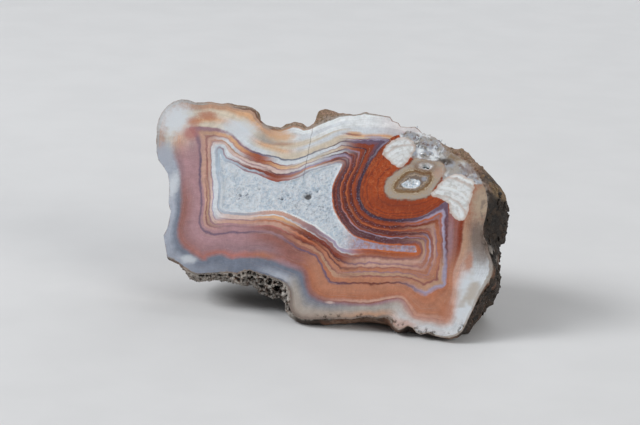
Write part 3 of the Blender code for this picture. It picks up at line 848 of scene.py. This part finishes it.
# Small pits along the bottom edge, painted as dark spots of shade, and the thin worn edge next to the skin
pits = face.times(
    face.between(along_v, 4.2, 2.2), face.between(along_u, 1.0, 4.0),
    face.between(face.value("rim"), 1.3, 0.3), face.between(face.noise(place, 0.8, 3.0), 0.5, 0.6, 0.0, 0.85),
)
colour = face.mix(pits, colour, "bark")
worn = face.vary(face.value("rim"), streaks, 1.6)
colour = face.stain(colour, (face.mix(medium, "ash", "brown"), worn, 0.16, 0.0, 0.5))

rough_area = face.math("MAXIMUM", druse_mask, crystal_mask)
roughness = face.math("MULTIPLY_ADD", fine, 0.12, face.math("MULTIPLY_ADD", rough_area, 0.3, 0.2))
height = face.times(face.noise(place, 6.5, 3.0, 0.7), face.math("MULTIPLY_ADD", rough_area, 0.06, 0.004))
face.finish(colour, roughness, height, 0.6, MM, {
    "IOR": 1.54, "Subsurface Weight": 0.15, "Subsurface Radius": (0.0008, 0.0005, 0.0004),
    "Subsurface Scale": 1.0,
})

# The rock of the skin: brown and grey crust, dark on the right flank, pale ridges and bubbles underneath,
# darkened by painted shade
rock = Shader("rough_skin")
place = rock.vector("place")
along_u, along_v, into_stone = rock.add("SeparateXYZ", place).outputs
broad = rock.noise(place, 0.22, 3.0)
grain = rock.noise(place, 1.6, 5.0, 0.65)
speckle = rock.noise(place, 5.5, 4.0, 0.7)
colour = rock.stain("bark", ("brown", broad, 0.38, 0.62, 1.0))
patchy = rock.between(rock.noise(place, 0.14, 5.0, 0.62), 0.47, 0.56)
crust = rock.times(patchy, rock.between(grain, 0.36, 0.64, 0.3, 0.85))
colour = rock.mix(crust, colour, rock.mix(broad, "smoke", "tan"))
colour = rock.stain(colour, ("soot", grain, 0.46, 0.3, 0.8))
flank = rock.times(rock.between(along_u, 25.0, 29.5), rock.between(into_stone, 0.3, 2.2), 0.9)
flank_colour = rock.stain(
    "soot", ("bark", grain, 0.45, 0.68, 1.0), ("brown", broad, 0.54, 0.66, 0.5),
    ("bone", speckle, 0.56, 0.7, 0.7),
)
# Patches on the flank: the soot patch is painted shade of the broken hollow, the gold patch a painted
# highlight on the flank's top
FLANK_PATCHES_AND_PAINTED_LIGHT = (
    ((30.6, 24.0), (3.0, 5.0), "soot"), ((30.0, 29.6), (3.0, 2.0), "gold"),
    ((30.4, 17.3), (1.6, 1.5), "bone"),
)
for centre, reach, tint in FLANK_PATCHES_AND_PAINTED_LIGHT:
    share = rock.times(rock.spot(place, centre, reach), rock.between(grain, 0.38, 0.56, 0.3, 0.9))
    flank_colour = rock.mix(share, flank_colour, tint)
colour = rock.mix(flank, colour, flank_colour)
top = rock.times(rock.between(along_v, 31.0, 34.0), rock.between(into_stone, 7.0, 1.0), 0.85)
top_colour = rock.stain("gold", ("tan", grain, 0.35, 0.65, 1.0), ("bark", speckle, 0.55, 0.42, 0.8))
colour = rock.mix(top, colour, top_colour)
# The bubbly rock: pale, with painted shade that darkens each bubble the deeper it is
matrix_colour = rock.stain(
    "bone", ("soot", rock.value("hollow"), 0.15, 0.6, 1.0), ("brown", grain, 0.48, 0.62, 0.7),
)
colour = rock.mix(rock.value("matrix"), colour, matrix_colour)
lip = rock.times(rock.between(into_stone, 0.5, 0.0), rock.between(grain, 0.4, 0.6), 0.7)
colour = rock.mix(lip, colour, "ash")
roughness = rock.math("MULTIPLY_ADD", grain, 0.25, 0.65)
rock.finish(colour, roughness, rock.times(rock.math("ADD", speckle, grain), 0.18), 0.8, MM, {})


def set_down(name, data):
    """Puts a new object with this data in the scene."""
    made = bpy.data.objects.new(name, data)
    bpy.context.scene.collection.objects.link(made)
    return made


def join_stone(piece):
    """Makes a piece a part of the stone: it rides with it and stands for its node."""
    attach(piece, "root")
    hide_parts("agate")


stone_mesh.materials.append(rock.material)
stone_mesh.materials.append(face.material)
join_stone(set_down("stone", stone_mesh))


# Quartz grains, crystal points and rock crumbs
# Grains of the same stone: sugary quartz grown over the middle, six-sided points in the crystal pockets and
# along the top edge, and crumbs on the bubbly rock and the right flank. They are scattered over the surface.

def scatter(name, surface, material, shape, density, sizes, stretch, tilt, seed):
    """Scatters grains of one shape over a surface, half sunk in it, as one plain mesh of the stone."""
    tree = bpy.data.node_groups.new(name, "GeometryNodeTree")
    sockets = (
        ("Surface", "INPUT", "Geometry"), ("Grains per square metre", "INPUT", "Float"),
        ("Seed", "INPUT", "Int"), ("Grains", "OUTPUT", "Geometry"),
    )
    _, density_socket, seed_socket, _ = [
        tree.interface.new_socket(label, in_out=way, socket_type="NodeSocket" + kind)
        for label, way, kind in sockets
    ]

    def node(kind, *inputs, **settings):
        made = tree.nodes.new(kind)
        for key, value in settings.items():
            setattr(made, key, value)
        for socket, value in inputs:
            if isinstance(value, bpy.types.NodeSocket):
                tree.links.new(value, made.inputs[socket])
            else:
                made.inputs[socket].default_value = value
        return made

    base_faces, grain_density, grain_seed = list(node("NodeGroupInput").outputs)[:3]
    points = node("GeometryNodeDistributePointsOnFaces", (0, base_faces), ("Density", grain_density),
                  ("Seed", grain_seed))
    if shape == "point":
        grain = node("GeometryNodeMeshCone", ("Vertices", 6), ("Radius Top", 0.0), ("Radius Bottom", 1.0),
                     ("Depth", 2.2))
    else:
        grain = node("GeometryNodeMeshIcoSphere", ("Radius", 1.0), ("Subdivisions", 1))
    leaning = node("FunctionNodeRandomValue", (0, (-tilt, -tilt, -3.0)), (1, (tilt, tilt, 3.0)),
                   ("Seed", grain_seed), data_type="FLOAT_VECTOR")
    turned = node("FunctionNodeRotateRotation", (0, points.outputs["Rotation"]), (1, leaning.outputs[0]),
                  rotation_space="LOCAL")
    size = node("FunctionNodeRandomValue", (2, sizes[0] * MM), (3, sizes[1] * MM), ("Seed", grain_seed),
                data_type="FLOAT")
    scale = node("ShaderNodeVectorMath", (0, size.outputs[1]), (1, (1.0, 1.0, stretch)), operation="MULTIPLY")
    placed = node("GeometryNodeInstanceOnPoints", ("Points", points.outputs[0]),
                  ("Instance", grain.outputs[0]), ("Rotation", turned.outputs[0]),
                  ("Scale", scale.outputs[0]))
    real = node("GeometryNodeRealizeInstances", (0, placed.outputs[0]))
    painted = node("GeometryNodeSetMaterial", (0, real.outputs[0]), ("Material", material))
    node("NodeGroupOutput", (0, painted.outputs[0]))

    places, triangles = surface
    base_mesh = bpy.data.meshes.new(name + "_surface")
    base_mesh.from_pydata([tuple(place) for place in places], [], [tuple(corners) for corners in triangles])
    base = set_down(name + "_surface", base_mesh)
    modifier = base.modifiers.new("grains", "NODES")
    modifier.node_group = tree
    modifier[density_socket.identifier] = density * 1e6
    modifier[seed_socket.identifier] = seed
    graph = bpy.context.evaluated_depsgraph_get()
    grains_mesh = bpy.data.meshes.new_from_object(base.evaluated_get(graph), depsgraph=graph)
    base.modifiers.remove(modifier)
    bpy.data.objects.remove(base)
    grains_mesh.name = name
    # Grains at the widest places don't stand out past the stone's own size
    grain_places = np.empty(len(grains_mesh.vertices) * 3)
    grains_mesh.vertices.foreach_get("co", grain_places)
    grain_places = np.clip(grain_places.reshape(-1, 3), low_corner, high_corner)
    grains_mesh.vertices.foreach_set("co", grain_places.ravel())
    grains_mesh.update()
    join_stone(set_down(name, grains_mesh))


def part_of_face(chosen):
    """The face triangles whose corners are all chosen."""
    kept = [corners for corners in made_faces if all(chosen[corner] for corner in corners)]
    used = np.unique(np.array(kept))
    number = {old: new for new, old in enumerate(used)}
    return face_places[used], [[number[corner] for corner in corners] for corners in kept]


def quartz(name, pale, grey, roughness, size):
    """Quartz with a tone that varies from grain to grain."""
    shader = Shader(name)
    at = shader.scaled(shader.add("TexCoord").outputs["Object"], (1000.0, 1000.0, 1000.0))
    tone = shader.noise(at, size, 4.0, 0.7)
    colour = shader.stain(grey, (pale, tone, 0.4, 0.6, 1.0))
    roughness = shader.math("MULTIPLY_ADD", tone, 0.3, roughness)
    shader.finish(colour, roughness, shader.noise(at, 6.0, 3.0), 1.0, 0.05 * MM, {
        "Subsurface Weight": 0.2, "Subsurface Radius": (0.0005, 0.0005, 0.0006),
    })
    return shader.material


sugar_quartz = quartz("sugar_quartz", "milk", "ice", 0.25, 0.35)
clear_quartz = quartz("clear_quartz", "milk", "ash", 0.1, 0.5)
crumb_rock = quartz("crumb_rock", "bone", "bark", 0.6, 1.2)
in_pit = sink > 0.45
scatter("sugar_grains", part_of_face((druse_depth > 0.35) & (face_uv[:, 0] < 6.0) & ~in_pit), sugar_quartz,
        "grain", 7.0, (0.05, 0.16), 0.35, 0.4, 4)
at_points = ((crystal_depth > 0.4) & (face_uv[:, 0] < 21.0)) | ((centre_depth > 0.1) & ~in_pit)
scatter("crystal_points", part_of_face(at_points), clear_quartz, "point", 1.8, (0.1, 0.3), 1.0, 0.9, 9)

skin_corners = skin_places[np.array(skin_faces)]
skin_u, skin_v, skin_w = to_face(skin_corners.mean(1)).T
FLOOR_GAP = 2.0 * MM
off_floor = skin_corners[:, :, 2].min(1) > FLOOR_GAP
bubbly = off_floor & (matrix_share(np.column_stack((skin_u, skin_v, skin_w))) > 0.5) & (skin_w < 8.0)
crystal_edge = (skin_u > 11.0) & (skin_u < 20.5) & (skin_v > 34.0) & (skin_w > 0.1) & (skin_w < 2.5)
gold_edge = (skin_u > 20.0) & (skin_v > 29.0) & (skin_w > 0.1) & (skin_w < 3.5)
right_flank = off_floor & (skin_u > 28.0) & (skin_v < 30.0) & (skin_w > 0.4) & (skin_w < 9.0)
gold_rind = quartz("gold_rind", "gold", "brown", 0.5, 0.6)
dark_rind = quartz("dark_rind", "bark", "soot", 0.6, 0.3)
for name, chosen, material, shape, density, sizes, stretch, seed in (
    ("rock_crumbs", bubbly, crumb_rock, "grain", 2.2, (0.08, 0.24), 0.7, 12),
    ("edge_crystals", crystal_edge, clear_quartz, "point", 1.6, (0.1, 0.32), 1.0, 15),
    ("gold_crumbs", gold_edge, gold_rind, "grain", 1.0, (0.15, 0.5), 0.4, 18),
    ("flank_crumbs", right_flank, dark_rind, "grain", 0.6, (0.25, 0.85), 0.35, 21),
):
    chosen_faces = [skin_faces[number] for number in np.nonzero(chosen)[0]]
    scatter(name, (skin_places, chosen_faces), material, shape, density, sizes, stretch, 0.6, seed)


# Floor, light and camera
# A plain pale floor that sweeps up behind the stone, soft light from large lamps, and a camera where the
# photograph's was: low, a little to the right of square on, with a long lens and a slight roll.

FLOOR_HALF_WIDTH = 1.6
FLOOR_FRONT, FLOOR_BACK, WALL_TOP = -1.2, 0.9, 1.8
SWEEP_RADIUS, SWEEP_STEPS = 0.6, 12
floor_profile = [(FLOOR_FRONT, 0.0), (FLOOR_BACK, 0.0)]
for step in range(1, SWEEP_STEPS + 1):
    angle = step / SWEEP_STEPS * math.pi / 2
    out, up = math.sin(angle), 1.0 - math.cos(angle)
    floor_profile.append((FLOOR_BACK + SWEEP_RADIUS * out, SWEEP_RADIUS * up))
floor_profile.append((FLOOR_BACK + SWEEP_RADIUS, WALL_TOP))
floor_mesh = bpy.data.meshes.new("floor")
floor_places = [(side * FLOOR_HALF_WIDTH, y, z) for y, z in floor_profile for side in (-1, 1)]
floor_faces = [(2 * i, 2 * i + 1, 2 * i + 3, 2 * i + 2) for i in range(len(floor_profile) - 1)]
floor_mesh.from_pydata(floor_places, [], floor_faces)
floor_mesh.polygons.foreach_set("use_smooth", [True] * len(floor_faces))
paper = Shader("pale_paper")
tone = paper.between(paper.noise(paper.add("TexCoord").outputs["Object"], 60.0), 0.3, 0.7, 0.61, 0.63)
paper_colour = paper.add("CombineColor", tone, tone, tone).outputs[0]
paper.put_all(paper.surface, {"Base Color": paper_colour, "Roughness": 0.75})
floor_mesh.materials.append(paper.material)
floor = set_down("floor", floor_mesh)

SKY_STRENGTH = 0.22
world = bpy.data.worlds.new("studio")
world.use_nodes = True
sky = world.node_tree.nodes["Background"].inputs
sky["Color"].default_value = (0.95, 0.97, 1.0, 1.0)
sky["Strength"].default_value = SKY_STRENGTH
bpy.context.scene.world = world

STONE_MIDDLE = Vector((0.0, 0.0, 0.015))
# Square soft lamps that look at the stone: place, size, power and colour
for name, place, size, power, colour in (
    ("window", (-0.62, -0.12, 0.5), 0.35, 4.5, (0.97, 0.98, 1.0)),
    ("back_sky", (0.1, 0.6, 0.5), 0.5, 2.2, (0.95, 0.97, 1.0)),
    ("sheen", (-0.38, -0.25, 0.5), 0.25, 0.6, (0.9, 0.95, 1.0)),
    ("fill", (0.6, -0.3, 0.3), 0.4, 2.4, (1.0, 0.98, 0.95)),
):
    light = bpy.data.lights.new(name, "AREA")
    light.size, light.energy, light.color = size, power, colour
    holder = set_down(name, light)
    holder.location = place
    holder.rotation_euler = (STONE_MIDDLE - Vector(place)).to_track_quat("-Z", "Y").to_euler()

CAMERA_AZIMUTH, CAMERA_ELEVATION, CAMERA_ROLL = (math.radians(angle) for angle in (13.0, 16.0, 1.6))
CAMERA_DISTANCE = 0.378
# What the camera looks at, in metres from the foot of the polished face
AIM_FROM_FACE_FOOT = (0.0, 0.0135, 0.0161)
camera_data = bpy.data.cameras.new("camera")
camera_data.lens = 120.0
camera_data.sensor_width = 36.0
camera_data.clip_start = 0.01
camera = set_down("camera", camera_data)
turn = (
    Matrix.Rotation(CAMERA_AZIMUTH, 4, "Z") @ Matrix.Rotation(math.pi / 2 - CAMERA_ELEVATION, 4, "X")
    @ Matrix.Rotation(CAMERA_ROLL, 4, "Z")
)
aim = Vector(FACE_ORIGIN) + Vector(AIM_FROM_FACE_FOOT)
camera.matrix_world = Matrix.Translation(aim) @ turn @ Matrix.Translation((0.0, 0.0, CAMERA_DISTANCE))
bpy.context.scene.camera = camera
bpy.context.scene.view_settings.view_transform = "Standard"
